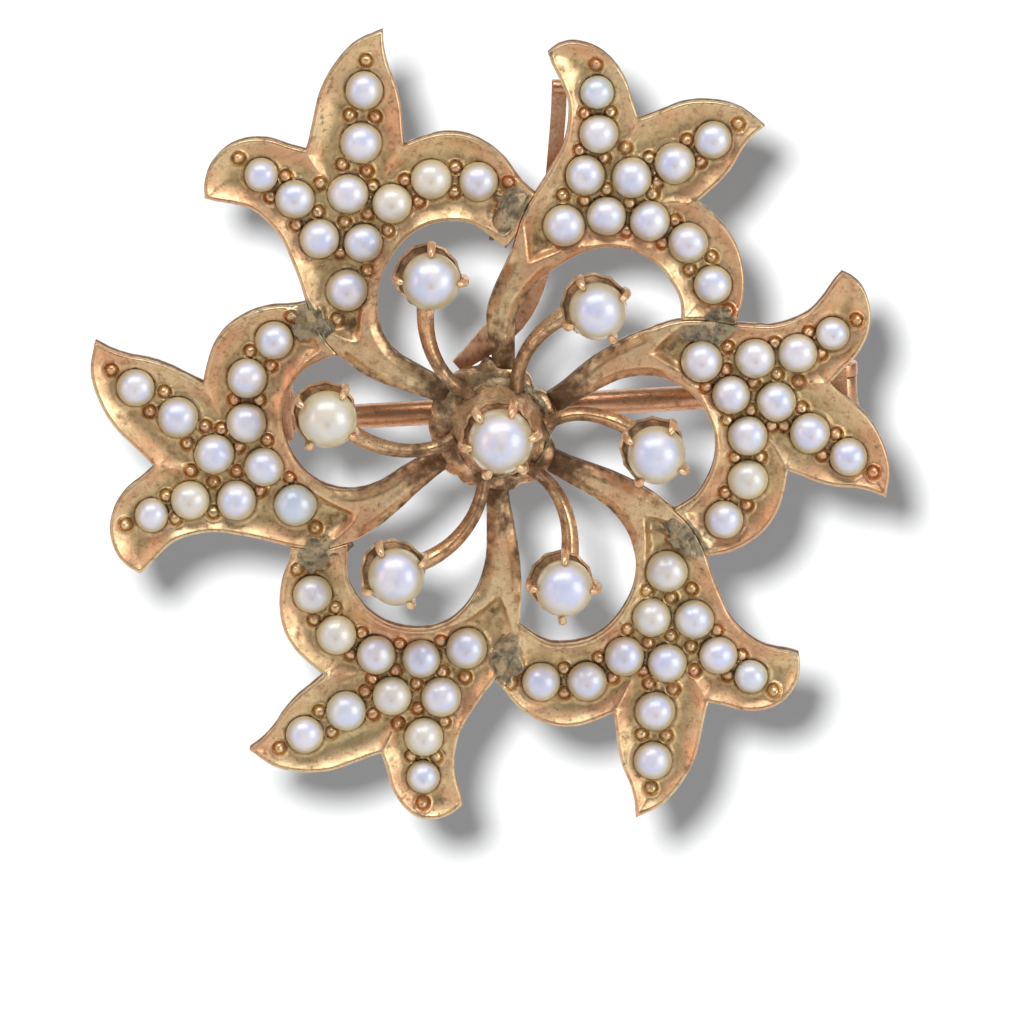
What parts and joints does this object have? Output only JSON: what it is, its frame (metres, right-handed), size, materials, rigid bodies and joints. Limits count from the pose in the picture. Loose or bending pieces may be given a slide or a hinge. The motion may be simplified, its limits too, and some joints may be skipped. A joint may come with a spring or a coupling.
{
  "type": "brooch",
  "caption": "Antique gold pinwheel flower brooch with seed pearls set in curled petals, pearl stamens, a centre pearl, a hinged pin with a C catch, and a folding bail.",
  "frame": {"origin": "centre of the whole brooch's box, almost on the hub's axis", "axes": "upright as worn: face towards -Y, top towards +Z, the pin's hinge towards +X"},
  "size_m": [0.0319, 0.0066, 0.0322],
  "materials": {
    "petal_gold": "antique rose gold, satin with bright-cut edges",
    "setting_gold": "antique rose gold, darkened in the recesses",
    "pin_gold": "copper-coloured gold, drawn and plain",
    "pearl": "pearl lustre, white to cream",
    "solder": "dull grey solder, rough"
  },
  "bodies": {
    "brooch": {"hub_plate": "setting_gold", "petal_1": "petal_gold", "petal_2": "petal_gold", "petal_3": "petal_gold", "petal_4": "petal_gold", "petal_5": "petal_gold", "petal_6": "petal_gold", "petal_pearls_1": "pearl", "petal_pearls_2": "pearl", "petal_pearls_3": "pearl", "petal_pearls_4": "pearl", "petal_pearls_5": "pearl", "petal_pearls_6": "pearl", "stamen_wire_1": "setting_gold", "stamen_wire_2": "setting_gold", "stamen_wire_3": "setting_gold", "stamen_wire_4": "setting_gold", "stamen_wire_5": "setting_gold", "stamen_wire_6": "setting_gold", "stamen_cup_1": "setting_gold", "stamen_cup_2": "setting_gold", "stamen_cup_3": "setting_gold", "stamen_cup_4": "setting_gold", "stamen_cup_5": "setting_gold", "stamen_cup_6": "setting_gold", "stamen_pearl_1": "pearl", "stamen_pearl_2": "pearl", "stamen_pearl_3": "pearl", "stamen_pearl_4": "pearl", "stamen_pearl_5": "pearl", "stamen_pearl_6": "pearl", "centre_crown": "setting_gold", "centre_pearl": "pearl", "solder_joints": "solder", "hinge_bracket": "pin_gold", "hinge_rivet": "pin_gold", "catch": "pin_gold", "bail_tube": "pin_gold"},
    "hinge_end": {"pin_knuckle": "pin_gold"},
    "pin": {"pin_stem": "pin_gold"},
    "bail_loop": {"bail": "pin_gold"}
  },
  "joints": [
    {"name": "pin_swing", "type": "hinge", "parent": "brooch", "child": "hinge_end", "pos_m": [0.01395, 0.00238, 0.001], "axis": [0.0576, 0, -0.9983], "range_deg": [0, 105]},
    {"name": "pin_flex", "type": "hinge", "parent": "hinge_end", "child": "pin", "pos_m": [0.01242, 0.00238, 0.00091], "axis": [0, 1, 0], "range_deg": [0, 2]},
    {"name": "bail_fold", "type": "hinge", "parent": "brooch", "child": "bail_loop", "pos_m": [0.00355, 0.00168, 0.0134], "axis": [1, 0, 0], "range_deg": [0, 175]}
  ]
}
